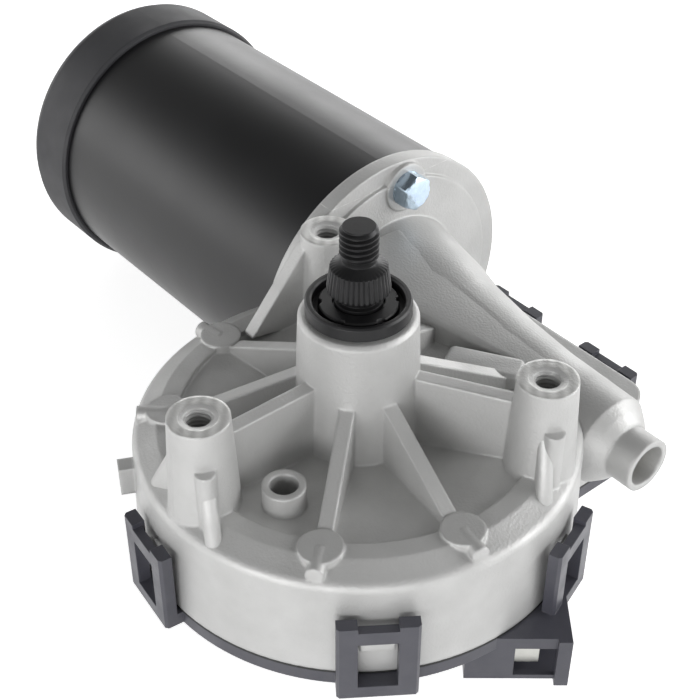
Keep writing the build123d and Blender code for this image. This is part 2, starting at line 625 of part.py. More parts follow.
def gear_housing():
    body = drum() + extrude(Plane.XY.offset(JOINT_Z) * block_outline(), BLOCK_TOP_Z - JOINT_Z)
    body -= motor_relief(TUBE_FRONT_X)
    body += block((FLANGE_FRONT_X, FLANGE_FRONT_X + BRIDGE_LENGTH),
                  (WORM_Y - BRIDGE_TO_SHAFT, WORM_Y + BRIDGE_TO_BACK), (JOINT_Z + BRIDGE_LIFT, BLOCK_TOP_Z))
    body += [*mounting_bosses(), *roof_ribs(), *rib_nodes(), tower(), *pilot_tube(), worm_tunnel()]
    body += [motor_flange(), *flange_gussets(), *latch_lugs(), *wall_stop()]
    # Nothing in front of the motor flange reaches below the joint face.
    body -= block((BLOCK_LEFT_X - RUNNING_GAP, PIPE_END_X), (-RIM_R, WORM_Y + FLANGE_R),
                  (WORM_Z - FLANGE_R, JOINT_Z))
    body -= [gear_chamber(), *worm_bores(), *mounting_holes(), *pilot_hole()]
    pocket_y = (WORM_Y + WORM_BORE_R + WALL, BLOCK_BACK_Y - WALL)
    body -= block((BLOCK_LEFT_X + BLOCK_CORNER_R, BLOCK_RIGHT_X - WALL), pocket_y,
                  (JOINT_Z, BLOCK_TOP_Z - WALL))
    bolt_hole = rod_x(BOLT_R + BOLT_HOLE_GAP, TUBE_FRONT_X - SPIGOT_LENGTH, BOLT_SEAT_X)
    body -= around_x(BOLT_ANGLES, BOLT_CIRCLE_R, bolt_hole)
    return body


# ---- Cover and what is fixed to it ----
def socket_block(along, out, z):
    """A box given by ranges along the mouth's axis, out of the side and up."""
    return Rot(0, 0, SOCKET_ANGLE) * block(along, (-out[1], -out[0]), z)


def clip_frame(wall):
    """Snap clip on a wall at distance wall along +X: two legs and a cross bar."""
    inner, outer = wall + CLIP_GAP, wall + CLIP_GAP + CLIP_THICKNESS
    half = CLIP_WIDTH / 2
    leg = block((inner, outer), (half - CLIP_LEG, half), (COVER_BOTTOM_Z, BLOCK_TOP_Z))
    bar = block((inner + CLIP_BAR_INSET, outer), (-half, half), (CLIP_BAR_LOW_Z, CLIP_BAR_TOP_Z))
    foot = block((wall - CLIP_ROOT, outer), (-half, half), (COVER_BOTTOM_Z, COVER_TOP_Z))
    frame = foot + bar + [leg, mirror(leg, Plane.XZ)]
    corners = [edge for edge in frame.edges().filter_by(Axis.Z)
               if abs(edge.center().X - outer) < 0.01 and abs(abs(edge.center().Y) - half) < 0.01]
    return chamfer(corners, CLIP_CHAMFER)


def connector_socket():
    """Rectangular hood under the rim of the cover, with a thicker collar round its mouth."""
    hood = socket_block((SOCKET_START, SOCKET_END), (SOCKET_IN, SOCKET_OUT), (SOCKET_BOTTOM_Z, SOCKET_TOP_Z))
    collar = socket_block((SOCKET_END - SOCKET_COLLAR, SOCKET_END),
                          (SOCKET_IN - SOCKET_COLLAR_OUT, SOCKET_OUT + SOCKET_COLLAR_OUT),
                          (SOCKET_BOTTOM_Z - SOCKET_COLLAR_OUT, COVER_TOP_Z))
    roof = socket_block((SOCKET_START, SOCKET_END), (SOCKET_IN, SOCKET_OUT), (COVER_BOTTOM_Z, COVER_TOP_Z))
    return hood + collar + roof


def connector_cavity():
    """Hollow that takes the plug, the window in the outer wall and the drain hole in the floor."""
    hollow = socket_block((CAVITY_START, SOCKET_END), CAVITY_ACROSS, CAVITY_HEIGHTS)
    window = socket_block((CAVITY_START, SOCKET_END - SOCKET_COLLAR), (CAVITY_ACROSS[0], SOCKET_OUT),
                          CAVITY_HEIGHTS)
    drain_in = CAVITY_ACROSS[0] + DRAIN_IN
    drain = socket_block((CAVITY_START, CAVITY_START + DRAIN_LENGTH), (drain_in, drain_in + DRAIN_WIDTH),
                         (SOCKET_BOTTOM_Z, COVER_BOTTOM_Z))
    return [hollow, window, drain]


def gear_cover():
    plate = extrude(Plane.XY.offset(COVER_BOTTOM_Z) * cover_outline(), COVER_THICKNESS)
    recess = extrude(Plane.XY.offset(COVER_FLOOR_Z) * cover_outline(COVER_RIM), COVER_RECESS)
    clips = around_z(CLIP_ANGLES, 0, clip_frame(RIM_R))
    clips += [Pos(x, 0, 0) * Rot(0, 0, 90) * clip_frame(BLOCK_BACK_Y) for x in REAR_CLIP_X]
    cover = plate - recess
    cover += [*clips, connector_socket()]
    cover -= connector_cavity()
    return clear_of_motor(cover)


def cover_gasket():
    outline = cover_outline() - cover_outline(GASKET_WIDTH)
    return clear_of_motor(extrude(Plane.XY.offset(COVER_TOP_Z) * outline, GASKET))


def connector_terminals():
    """A row of flat blades that stand in the connector's cavity."""
    inner, outer = CAVITY_ACROSS
    pitch = (outer - inner) / TERMINALS
    low, high = CAVITY_HEIGHTS
    heights = ((low + high - TERMINAL_HEIGHT) / 2, (low + high + TERMINAL_HEIGHT) / 2)
    blades = []
    for count in range(TERMINALS):
        middle = inner + pitch * (count + 0.5)
        across = (middle - TERMINAL_WIDTH / 2, middle + TERMINAL_WIDTH / 2)
        blades.append(socket_block((CAVITY_START, CAVITY_START + TERMINAL_REACH), across, heights))
    return Compound(children=blades)


# ---- Worm gear ----
def armature_shaft():
    """Shaft with the worm's single right-hand thread cut on its front end."""
    core_end = WORM_HALF_LENGTH + WORM_RUNOUT
    shaft = disc_x(ARM_SHAFT_R, 0, TUBE_FLOOR_X + ARM_SHAFT_TAIL, END_BUSH_END_X)
    shaft += disc_x(WORM_ROOT_R, 0, -core_end, core_end)
    half_pitch = WORM_LEAD / 4 - TOOTH_RELIEF
    root_half = half_pitch + (WORM_PITCH_R - WORM_ROOT_R + THREAD_SINK) * FLANK_SLOPE
    tip_half = half_pitch - (WORM_TIP_R - WORM_PITCH_R) * FLANK_SLOPE
    path = Helix(WORM_LEAD, 2 * WORM_HALF_LENGTH, WORM_ROOT_R)
    # The thread starts on the side of the wheel, so that a gap faces the wheel's tooth at rest.
    path = ACROSS_WORM.offset(-WORM_HALF_LENGTH) * Rot(0, 0, 180) * path
    start = path @ 0
    outward = (start - Vector(start.X, WORM_Y, WORM_Z)).normalized()
    radial = Plane(origin=start, x_dir=(1, 0, 0), z_dir=Vector(1, 0, 0).cross(outward))
    tooth = radial * polygon([
        (-root_half, -THREAD_SINK), (root_half, -THREAD_SINK),
        (tip_half, WORM_TIP_R - WORM_ROOT_R), (-tip_half, WORM_TIP_R - WORM_ROOT_R)])
    return shaft + sweep(tooth, path=path, is_frenet=True)


def worm_wheel():
    """Toothed rim on a thin web; the teeth lean with the worm's lead."""
    pitch_half = MODULE * pi / 4 - TOOTH_RELIEF
    tip_half = pitch_half - (WHEEL_TIP_R - WHEEL_PITCH_R) * FLANK_SLOPE
    root_half = pitch_half + (WHEEL_PITCH_R - WHEEL_ROOT_R) * FLANK_SLOPE * ROOT_EASE
    sunk_r = WHEEL_ROOT_R - TOOTH_SINK
    foot = polygon([
        (-root_half, sunk_r), (root_half, sunk_r), (root_half, WHEEL_ROOT_R),
        (tip_half, WHEEL_TIP_R), (-tip_half, WHEEL_TIP_R), (-root_half, WHEEL_ROOT_R)])
    foot = Plane.XY.offset(WHEEL_BOTTOM_Z) * Pos(LEAD_SLOPE * WHEEL_FACE / 2, 0) * foot
    tooth = extrude(foot, WHEEL_FACE, dir=(-LEAD_SLOPE, 0, 1))
    wheel = disc_z(WHEEL_ROOT_R, WHEEL_ROOT_R - WHEEL_RIM, WHEEL_BOTTOM_Z, WHEEL_TOP_Z)
    wheel += disc_z(WHEEL_ROOT_R - WHEEL_RIM / 2, HUB_R, WEB_BOTTOM_Z, WEB_TOP_Z)
    # A gap of the worm faces the wheel at rest, so a tooth stands on the line between the axes.
    return wheel + [Rot(0, 0, angle) * tooth for angle in even_angles(WHEEL_TEETH)]


def wheel_hub():
    """Steel hub pressed on the shaft, with a flange over the wheel's web."""
    flange_r = HUB_R + HUB_FLANGE_OUT
    return turned_z([
        (SHAFT_R, WHEEL_BOTTOM_Z), (HUB_R, WHEEL_BOTTOM_Z), (HUB_R, WEB_TOP_Z), (flange_r, WEB_TOP_Z),
        (flange_r, WEB_TOP_Z + HUB_FLANGE), (SHAFT_R + HUB_NECK, WHEEL_TOP_Z), (SHAFT_R, WHEEL_TOP_Z)])


def contact_disc():
    """Parking disc under the wheel's web: a ring of sheet metal with a notch at the park position."""
    sheet = disc_z(DISC_OUTER_R, DISC_INNER_R, DISC_BOTTOM_Z, WEB_BOTTOM_Z)
    edge = DISC_OUTER_R + SINK
    middle = (DISC_OUTER_R + DISC_INNER_R) / 2
    notch = polygon([(middle, 0), (edge, -DISC_NOTCH / 2), (edge, DISC_NOTCH / 2)])
    return sheet - extrude(Plane.XY.offset(DISC_BOTTOM_Z) * notch, DISC_THICKNESS)


def park_contacts():
    """Three spring strips that rise from the cover to the parking disc."""
    foot_z = COVER_FLOOR_Z + CONTACT_THICKNESS / 2
    tip_z = DISC_BOTTOM_Z - RUNNING_GAP - CONTACT_THICKNESS / 2
    line = Polyline(
        (-CONTACT_FOOT - CONTACT_RUN, foot_z), (-CONTACT_RUN, foot_z), (0, tip_z), (CONTACT_TIP, tip_z),
        (CONTACT_TIP + CONTACT_HOOK, tip_z - CONTACT_HOOK))
    strip = extrude(Plane.XZ * trace(line, CONTACT_THICKNESS), CONTACT_WIDTH / 2, both=True)
    middle = (DISC_INNER_R + DISC_OUTER_R) / 2
    radii = (DISC_INNER_R + CONTACT_EDGE, middle, DISC_OUTER_R - CONTACT_EDGE)
    return Compound(children=[Rot(0, 0, CONTACT_ANGLE) * Pos(0, radius, 0) * strip for radius in radii])


def output_shaft():
    foot_z = WHEEL_BOTTOM_Z - SHAFT_BELOW
    return turned_z([
        (0, foot_z), (SHAFT_R - SHAFT_CHAMFER, foot_z), (SHAFT_R, foot_z + SHAFT_CHAMFER),
        (SHAFT_R, CONE_FOOT_Z - CONE_UNDERCUT), (CONE_FOOT_R, CONE_FOOT_Z), (CONE_TOP_R, CONE_TOP_Z),
        (STUD_R, STUD_FOOT_Z), (STUD_R, STUD_TOP_Z - STUD_CHAMFER), (STUD_R - STUD_CHAMFER, STUD_TOP_Z),
        (0, STUD_TOP_Z)])


def upper_bush():
    top_z = NECK_TOP_Z - SEAL_HEIGHT
    return disc_z(TOWER_BORE_R, SHAFT_R + RUNNING_FIT, top_z - BUSH_LENGTH, top_z)


def lower_bush():
    return disc_z(TOWER_BORE_R, SHAFT_R + RUNNING_FIT, LOWER_BUSH_Z, LOWER_BUSH_Z + BUSH_LENGTH)


def shaft_seal():
    return disc_z(TOWER_BORE_R, SHAFT_R + RUNNING_FIT, NECK_TOP_Z - SEAL_HEIGHT, NECK_TOP_Z)


def thrust_washer():
    """Washer between the wheel's hub and the lower bush."""
    return disc_z(TOWER_BORE_R - RUNNING_GAP, SHAFT_R, WHEEL_TOP_Z, LOWER_BUSH_Z - RUNNING_FIT)


def retaining_ring():
    """Open ring round the shaft above the tower; it keeps the shaft from dropping."""
    low = NECK_TOP_Z + RUNNING_GAP
    outer = SHAFT_R + RETAINER_WIDTH
    opening = block((0, outer), (-RETAINER_GAP / 2, RETAINER_GAP / 2), (low, low + RETAINER))
    return disc_z(outer, SHAFT_R, low, low + RETAINER) - opening


def shaft_collar():
    """Dished cap on the tower's neck: outer ring, windowed floor and a sleeve round the shaft."""
    floor_z = NECK_TOP_Z + RETAINER + 2 * RUNNING_GAP
    floor_top_z = floor_z + COLLAR_FLOOR
    bore = SHAFT_R + RUNNING_GAP
    sleeve_r = bore + COLLAR_SLEEVE
    sleeve_z = COLLAR_TOP_Z - COLLAR_SLEEVE_DROP
    dish_r = COLLAR_R - COLLAR_WALL
    cap = turned_z([
        (bore, floor_z), (NECK_R - COLLAR_WALL, floor_z), (NECK_R - COLLAR_SEAT, NECK_TOP_Z),
        (COLLAR_R, NECK_TOP_Z), (COLLAR_R, COLLAR_TOP_Z - COLLAR_EDGE),
        (COLLAR_R - COLLAR_EDGE, COLLAR_TOP_Z), (dish_r, COLLAR_TOP_Z), (dish_r - COLLAR_EDGE, floor_top_z), (sleeve_r, floor_top_z),
        (sleeve_r, sleeve_z), (bore, sleeve_z)])
    half = COLLAR_WINDOW_WIDTH / 2
    window = block((sleeve_r + COLLAR_EDGE, dish_r - 2 * COLLAR_EDGE), (-half, half), (floor_z, floor_top_z))
    return cap - around_z(even_angles(COLLAR_WINDOWS), 0, window)


# ---- Motor ----
def motor_tube():
    """Drawn steel can, open towards the gear housing, with a cup for the rear bush."""
    shell = turned_x([
        (TUBE_FRONT_X, TUBE_BORE_R), (TUBE_FRONT_X, TUBE_R), (TUBE_REAR_X, TUBE_R), (TUBE_REAR_X, 0),
        (TUBE_FLOOR_X, 0), (TUBE_FLOOR_X, TUBE_BORE_R)])
    cup = disc_x(REAR_BUSH_R + TUBE_WALL, REAR_BUSH_R, TUBE_FLOOR_X, TUBE_FLOOR_X + REAR_BUSH_LENGTH)
    nut = rod_x(BOLT_R + NUT_WALL, TUBE_FLOOR_X, TUBE_FLOOR_X + NUT_HEIGHT)
    thread = rod_x(BOLT_R, TUBE_FLOOR_X, TUBE_FLOOR_X + NUT_HEIGHT)
    shell += [cup, *around_x(BOLT_ANGLES, BOLT_CIRCLE_R, nut)]
    return shell - around_x(BOLT_ANGLES, BOLT_CIRCLE_R, thread)


def tube_end_cap():
    """Moulded cap pushed over the closed end of the tube, with a rounded rear edge."""
    bore = TUBE_R + RUNNING_FIT
    return turned_x([
        (CAP_FRONT_X, bore), (CAP_FRONT_X, CAP_R - CAP_LIP_CHAMFER), (CAP_FRONT_X - CAP_LIP_CHAMFER, CAP_R),
        (CAP_REAR_X + CAP_ROUND, CAP_R), (CAP_REAR_X + CAP_ROUND_STEP, CAP_R - CAP_ROUND_STEP),
        (CAP_REAR_X, CAP_R - CAP_ROUND), (CAP_REAR_X, 0), (TUBE_REAR_X, 0), (TUBE_REAR_X, bore)])


def motor_bolts():
    """Two long flange-head bolts from the gear housing through the motor to its rear wall."""
    bolt = rod_x(BOLT_R, TUBE_FLOOR_X, BOLT_SEAT_X)
    bolt += rod_x(BOLT_WASHER_R, BOLT_SEAT_X, BOLT_SEAT_X + BOLT_WASHER)
    hexagon = RegularPolygon(BOLT_HEAD_AF / 2, 6, major_radius=False)
    bolt += extrude(Plane.YZ.offset(BOLT_SEAT_X) * hexagon, BOLT_HEAD)
    return Compound(children=around_x(BOLT_ANGLES, BOLT_CIRCLE_R, bolt))


def field_magnets():
    """Four ferrite arcs inside the tube; the bolts pass between them."""
    start = MAGNET_FRONT_X - MAGNET_LENGTH
    reach = 2 * TUBE_BORE_R
    corner = (reach * cos(radians(MAGNET_ARC / 2)), reach * sin(radians(MAGNET_ARC / 2)))
    sector = polygon([(0, 0), (corner[0], -corner[1]), corner])
    arc = disc_x(TUBE_BORE_R, TUBE_BORE_R - MAGNET_THICKNESS, start, MAGNET_FRONT_X)
    arc &= extrude(ACROSS_WORM.offset(start) * sector, MAGNET_LENGTH)
    return Compound(children=[arc.rotate(WORM_AXIS, angle) for angle in MAGNET_ANGLES])


def slot_bars(section):
    """A section drawn on the +Y side, run the length of the core and repeated round the worm's axis."""
    bar = extrude(ACROSS_WORM.offset(CORE_REAR_X) * section, CORE_LENGTH)
    return [bar.rotate(WORM_AXIS, angle) for angle in even_angles(CORE_SLOTS)]


def slot_shape(clearance):
    """Cross-section of one armature slot: a pocket with round ends."""
    top = CORE_R - SLOT_LIP
    length = top - SLOT_FOOT_R
    return Pos((top + SLOT_FOOT_R) / 2, 0) * SlotOverall(length - 2 * clearance, SLOT_WIDTH - 2 * clearance)


def armature_core():
    """Slotted stack of laminations."""
    mouth = Pos(CORE_R, 0) * Rectangle(SLOT_WIDTH + SLOT_LIP, SLOT_MOUTH)
    return disc_x(CORE_R, ARM_SHAFT_R, CORE_REAR_X, CORE_FRONT_X) - slot_bars(slot_shape(0) + mouth)


def armature_winding():
    """Copper in the slots, with rounded end turns in front of and behind the core."""
    inner, outer = ARM_SHAFT_R + WINDING_ROUND, CORE_R - WINDING_INSET
    winding = slot_bars(slot_shape(SLOT_LINER))
    for foot, overhang in ((CORE_FRONT_X, WINDING_OVERHANG), (CORE_REAR_X, -WINDING_OVERHANG)):
        tip = foot + overhang
        bend = tip + (WINDING_ROUND if tip < foot else -WINDING_ROUND)
        winding.append(turned_x([
            (foot, inner), (foot, outer), (bend, outer), (tip, outer - WINDING_ROUND),
            (tip, inner + WINDING_ROUND), (bend, inner)]))
    return winding[-1] + winding[:-1]


def commutator():
    """Copper bars round a moulded hub, with a riser at the winding's side."""
    copper = disc_x(COMMUTATOR_R, ARM_SHAFT_R, COMMUTATOR_REAR_X, COMMUTATOR_FRONT_X)
    riser_r = COMMUTATOR_R + RISER_HEIGHT
    copper += disc_x(riser_r, COMMUTATOR_R - SINK, COMMUTATOR_REAR_X, COMMUTATOR_REAR_X + RISER)
    groove = block((COMMUTATOR_REAR_X, COMMUTATOR_FRONT_X), (COMMUTATOR_R - BAR_GROOVE_DEPTH, riser_r + SINK),
                   (-BAR_GROOVE / 2, BAR_GROOVE / 2))
    return copper - around_x(even_angles(COMMUTATOR_BARS), 0, groove)


def front_bearing():
    """Sealed ball bearing in the motor flange, with shallow recesses over its seals."""
    start, end = TUBE_FRONT_X, TUBE_FRONT_X + BEARING_WIDTH
    body = disc_x(BEARING_R, ARM_SHAFT_R + RUNNING_FIT, start, end)
    outer, inner = BEARING_R - BEARING_RING, ARM_SHAFT_R + BEARING_RING
    return body - [disc_x(outer, inner, low, low + BEARING_RECESS) for low in (start, end - BEARING_RECESS)]


def rear_bush():
    return disc_x(REAR_BUSH_R, ARM_SHAFT_R + RUNNING_FIT, TUBE_FLOOR_X, TUBE_FLOOR_X + REAR_BUSH_LENGTH)


def worm_end_bush():
    return disc_x(END_BUSH_R, ARM_SHAFT_R + RUNNING_FIT, END_BUSH_X, END_BUSH_END_X)


def thrust_pad():
    """Disc that takes the worm's end thrust; a small hole through it lets the pipe breathe."""
    return disc_x(END_BUSH_R, BREATHER_R, END_BUSH_END_X + RUNNING_FIT, PAD_END_X)


def brush_plate():
    """Moulded plate in the mouth of the tube, with two open boxes for the brushes."""
    plate = disc_x(TUBE_BORE_R, BRUSH_BOX_R, BRUSH_PLATE_X, BRUSH_PLATE_X + BRUSH_PLATE)
    bolt_hole = rod_x(BOLT_R + BOLT_HOLE_GAP, BRUSH_PLATE_X, BRUSH_PLATE_X + BRUSH_PLATE)
    plate -= around_x(BOLT_ANGLES, BOLT_CIRCLE_R, bolt_hole)
    rear_x = BRUSH_PLATE_X - BRUSH_HEIGHT
    half = BRUSH_WIDTH / 2
    wall = BRUSH_BOX_WALL
    box = block((rear_x - wall, BRUSH_PLATE_X), (BRUSH_BOX_R, BRUSH_BOX_END_R), (-half - wall, half + wall))
    box -= block((rear_x, BRUSH_PLATE_X), (BRUSH_BOX_R, BRUSH_BOX_END_R - wall), (-half, half))
    return plate + around_x(BRUSH_ANGLES, 0, box)


def carbon_brushes():
    """Two carbon blocks that ride on the commutator."""
    brush = block((BRUSH_PLATE_X - BRUSH_HEIGHT, BRUSH_PLATE_X),
                  (BRUSH_START_R, BRUSH_START_R + BRUSH_LENGTH), (-BRUSH_WIDTH / 2, BRUSH_WIDTH / 2))
    return Compound(children=around_x(BRUSH_ANGLES, 0, brush))


def brush_springs():
    """Short coil springs that push the brushes inwards."""
    low = BRUSH_START_R + BRUSH_LENGTH + SPRING_WIRE_R
    rise = BRUSH_BOX_END_R - BRUSH_BOX_WALL - SPRING_WIRE_R - low
    helix = Helix(rise / SPRING_TURNS, rise, SPRING_R)
    wire = sweep(Plane(helix @ 0, z_dir=helix % 0) * Circle(SPRING_WIRE_R), path=helix)
    spring = Pos(BRUSH_PLATE_X - BRUSH_HEIGHT / 2, 0, 0) * Rot(-90, 0, 0) * wire
    return Compound(children=around_x(BRUSH_ANGLES, low, spring))


# ---- All pieces, one file each ----
PIECES = [
    gear_housing, gear_cover, cover_gasket, connector_terminals, motor_tube, tube_end_cap, motor_bolts,
    field_magnets, brush_plate, carbon_brushes, brush_springs, front_bearing, rear_bush, worm_end_bush,
    thrust_pad, armature_shaft, armature_core, armature_winding, commutator, worm_wheel, wheel_hub,
    contact_disc, park_contacts, output_shaft, upper_bush, lower_bush, shaft_seal, thrust_washer,
    retaining_ring, shaft_collar,
]

os.makedirs("parts", exist_ok=True)
for piece in PIECES:
    export_step(piece(), f"parts/{piece.__name__}.step")
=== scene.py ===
import json
from math import cos, pi, radians, sin

import bmesh
import bpy
import numpy as np
from mathutils import Matrix, Vector


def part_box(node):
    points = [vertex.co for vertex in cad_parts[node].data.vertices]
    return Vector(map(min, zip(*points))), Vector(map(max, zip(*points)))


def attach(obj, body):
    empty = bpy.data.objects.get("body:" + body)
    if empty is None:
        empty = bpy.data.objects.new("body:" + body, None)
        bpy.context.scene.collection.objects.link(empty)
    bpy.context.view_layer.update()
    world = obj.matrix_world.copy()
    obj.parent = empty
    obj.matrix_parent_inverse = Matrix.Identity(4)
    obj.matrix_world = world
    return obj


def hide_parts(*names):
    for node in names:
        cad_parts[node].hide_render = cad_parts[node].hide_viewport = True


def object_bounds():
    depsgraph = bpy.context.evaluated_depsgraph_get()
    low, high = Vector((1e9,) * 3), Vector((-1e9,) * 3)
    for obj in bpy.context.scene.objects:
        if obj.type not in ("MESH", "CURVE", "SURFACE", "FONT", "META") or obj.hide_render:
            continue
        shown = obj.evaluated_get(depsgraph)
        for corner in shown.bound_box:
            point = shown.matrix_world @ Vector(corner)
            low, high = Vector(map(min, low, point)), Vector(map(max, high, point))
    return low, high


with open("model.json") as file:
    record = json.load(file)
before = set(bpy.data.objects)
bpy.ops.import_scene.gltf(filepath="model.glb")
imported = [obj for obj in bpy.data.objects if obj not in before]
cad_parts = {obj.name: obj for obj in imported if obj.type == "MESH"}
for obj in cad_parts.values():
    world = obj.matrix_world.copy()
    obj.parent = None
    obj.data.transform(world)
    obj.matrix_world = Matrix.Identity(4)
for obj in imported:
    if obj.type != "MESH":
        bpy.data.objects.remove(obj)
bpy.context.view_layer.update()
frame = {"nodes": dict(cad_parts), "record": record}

MM = 0.001

# ---- Camera: degrees round and above the motor, and millimetres from the middle of the mounting face ----
AZIMUTH = 50.045
ELEVATION = 37.988
ROLL = 0.251
STAND_BACK = 289.27
STAND_ASIDE = -1.730
STAND_OVER = -2.947
LENS = 72.405
NEAREST = 0.01                   # metres; nothing nearer is drawn

# ---- Finishes ----
MIX_SOCKETS = {"RGBA": (6, 7, 2), "FLOAT": (2, 3, 0)}            # the two inputs and the output of a mix node
PATCH_RANGE = (0.3, 0.7)         # where nearly all of a soft noise lies
BEVEL_SAMPLES = 6
SHARP_ANGLE = 35                 # degrees; a made piece keeps a crease that turns by more
TOP_REACH = 30.0                 # the milled faces lie further than this from the output shaft
TOP_SKIN = 0.06                  # and within this of the mounting plane
CUTTER_MARKS = 180.0             # waves of the marks, in the texture's own scale

# ---- Lengths of the made pieces, in millimetres ----
# Output shaft
STUD_R = 4.0
STUD_FOOT = 20.0
STUD_FADE = 0.8                  # the thread deepens over this length
THREAD_PITCH = 1.25
THREAD_DEPTH = 0.67
THREAD_ROOT = 1.25               # over 1, so that the root of a thread is flat
THREAD_FLANK = 3.0               # how fast a flank climbs
CONE_TEETH = 36
TOOTH_POINTS = 8                 # round the shaft, for each tooth
TOOTH_DEPTH = 0.28
TOOTH_BLUNTNESS = 0.8
CONE_FOOT = 12.0
CONE_TOP = 17.9
CONE_FADES = (0.3, 0.4)          # the teeth fade in and out over these lengths
SHAFT_PROFILE = (                # radius and height
    (4.4, -37.6), (5.0, -37.0), (5.0, 9.6), (4.2, 9.9), (4.2, 11.9), (6.3, 12.0), (6.6, 12.3), (5.9, 17.5),
    (5.2, 17.9), (4.1, 18.3), (3.5, 18.9), (3.5, 19.7), (3.6, 20.0), (4.0, 20.3), (4.0, 26.0), (3.3, 26.85))
SHAFT_ROWS = ((12.3, 17.5, 12), (19.8, 26.8, 150))               # from, to, and how many more rows

# Mounting holes
MOUNT_R = 40.0
MOUNT_ANGLES = (30, 150, 270)
HOLE_R = 2.85
HOLE_PITCH = 1.0
HOLE_CREST = 0.33                # how far the crests stand into the hole
HOLE_THREAD_DEPTH = 0.35
HOLE_BACK = 0.15                 # how far the outer wall lies in the metal
HOLE_THREAD_ENDS = (-12.0, -0.5)
HOLE_ROWS = 150
HOLE_POINTS = 64

# Motor bolts, along X
SHAFT_MIDDLE = (44.5, -31.0)     # Y and Z of the armature's axis
BOLT_CIRCLE_R = 29.5
BOLT_ANGLES = (83, 263)
BOLT_POINTS = 96
SHANK_R = 2.5
SHANK_TIP = 0.5
HEAD_HEIGHT = 4.2
HEX_R = 4.0
HEX_FLANGE_R = 4.4
HEX_FLANGE_HEIGHT = 0.35
PAST_CORNERS = 9.0               # a radius well outside the hexagon
HEAD_CHAMFER = ((1.1, PAST_CORNERS), (0.55, 4.45), (0.25, 3.9), (0.0, 3.4))      # under the top, and radius

# Collar
COLLAR_POINTS = 240
COLLAR_LOOP = (                  # radius and height, from the dome's foot over the dish and the rim
    (5.4, 8.4), (5.4, 9.05), (8.0, 9.05), (8.3, 8.7), (8.3, 7.3), (9.5, 7.3), (9.5, 9.3),
    (9.9, 9.72), (10.6, 9.72), (10.98, 9.3), (10.98, 6.72), (7.5, 6.72), (7.5, 8.4), (5.4, 8.4))
DOME_EDGE_R = (7.0, 9.0)         # the points of the dome's edge lie between these radii
DOME_EDGE_Z = 8.5                # and above this
COLLAR_NOTCHES = 6
COLLAR_TURN = 23                 # degrees
NOTCH_DEPTH = 0.6
NOTCH_WIDTH = 3.0                # over 1, so that the bottom of a notch is flat
NOTCH_FLANK = 28.0               # how fast its sides climb

# Flat beside the tunnel, and small pad before it
TUNNEL_CREST = (                 # X and radius
    (-37.0, 20.5), (-30.0, 18.85), (-22.0, 17.25), (-15.0, 15.3), (-1.0, 13.0), (13.0, 11.5), (22.0, 11.1))
FLAT_OUTLINE = (
    (-37.5, 44.5), (-37.5, 31.0), (-16.0, 29.0), (-3.5, 33.0), (6.0, 36.5), (22.0, 41.0), (22.0, 44.5))
FLAT_EVENED = (0.8, 10)          # step and passes
FLAT_EDGE = 1.0
FLAT_FOOT = -25.0
FLAT_FOOT_AT_TUNNEL = -21.3      # stays inside the tunnel's wall, over the worm
FOOT_CLIMB = (33.0, 39.0)        # the Y between which the foot climbs to the tunnel
PAD_START = (0.5, 28.0)
PAD_END = (12.0, 35.0)
PAD_R = 3.6
PAD_PAST = 2.0                   # how far it goes on past its ends
PAD_EVENED = (0.4, 16)
PAD_EDGE = 0.9
PAD_TOP = -18.6
EDGE_ROWS = 6

# Fins at the bosses
BOSS_FINS = ((30, -41), (150, 100), (270, -27), (270, 200))      # boss, and the way its fin points
FIN_SECTIONS = ((-23.0, 13.0), (-22.0, 13.0), (-8.5, 6.0))       # height, and reach from the boss's axis
FIN_HALF = 1.7
FIN_POINTS = 32

# ---- Studio, in metres ----
# How bright the surround is at the horizon and overhead, for soft light and for shine.
HORIZON_LIGHT = 0.66
CEILING_LIGHT = 0.06
CEILING_SHINE = 0.10
LIGHT_HEIGHTS = (0.10, 0.85)     # it dims between these heights of the way looked, 1 being straight up
SHINE_HEIGHTS = (0.20, 0.75)
FLOOR_GLOW = 0.72
FLOOR_HALF = 4.0
FLOOR_GAP = 0.0002
LAMP_AIM = (0, 0.02, -0.03)      # the middle of the gearbox
LAMPS = {                        # the way to it, its distance, width and height, and its watts
    "overhead_box": ((0.10, 0.20, 1.0), 0.9, 0.9, 0.9, 0.6),
    "front_box": ((0.50, -1.0, 0.24), 1.6, 1.5, 0.6, 14.0),
    "left_box": ((-1.0, -0.80, 0.26), 1.6, 1.5, 0.6, 4.5),
    "back_box": ((-0.62, 0.80, 0.24), 1.6, 2.0, 0.6, 9.0),
    "right_box": ((0.75, 0.90, 0.40), 1.6, 1.4, 0.8, 17.0),
}


# ---------------------------------------------------------------- helpers

def linear(colour):
    """An sRGB hex colour as the linear numbers a shader takes."""
    srgb = np.array([int(colour[i:i + 2], 16) for i in (1, 3, 5)]) / 255
    return (*np.where(srgb > 0.04045, ((srgb + 0.055) / 1.055) ** 2.4, srgb / 12.92), 1.0)


def add(tree, kind, sockets, **settings):
    """Adds a node: settings are its own properties, and each socket takes a value or another node's output."""
    made = tree.nodes.new(kind)
    for key, value in settings.items():
        setattr(made, key, value)
    for key, value in sockets.items():
        if isinstance(value, bpy.types.NodeSocket):
            tree.links.new(value, made.inputs[key])
        else:
            made.inputs[key].default_value = value
    return made


def mix(tree, kind, share, first, second):
    """Two colours (RGBA) or numbers (FLOAT) mixed: the first where share is 0, the second where it is 1."""
    one, two, out = MIX_SOCKETS[kind]
    return add(tree, "ShaderNodeMix", {0: share, one: first, two: second}, data_type=kind).outputs[out]


def reckon(tree, operation, *values):
    """The result of one operation on numbers, such as the greater of two."""
    return add(tree, "ShaderNodeMath", dict(enumerate(values)), operation=operation).outputs[0]


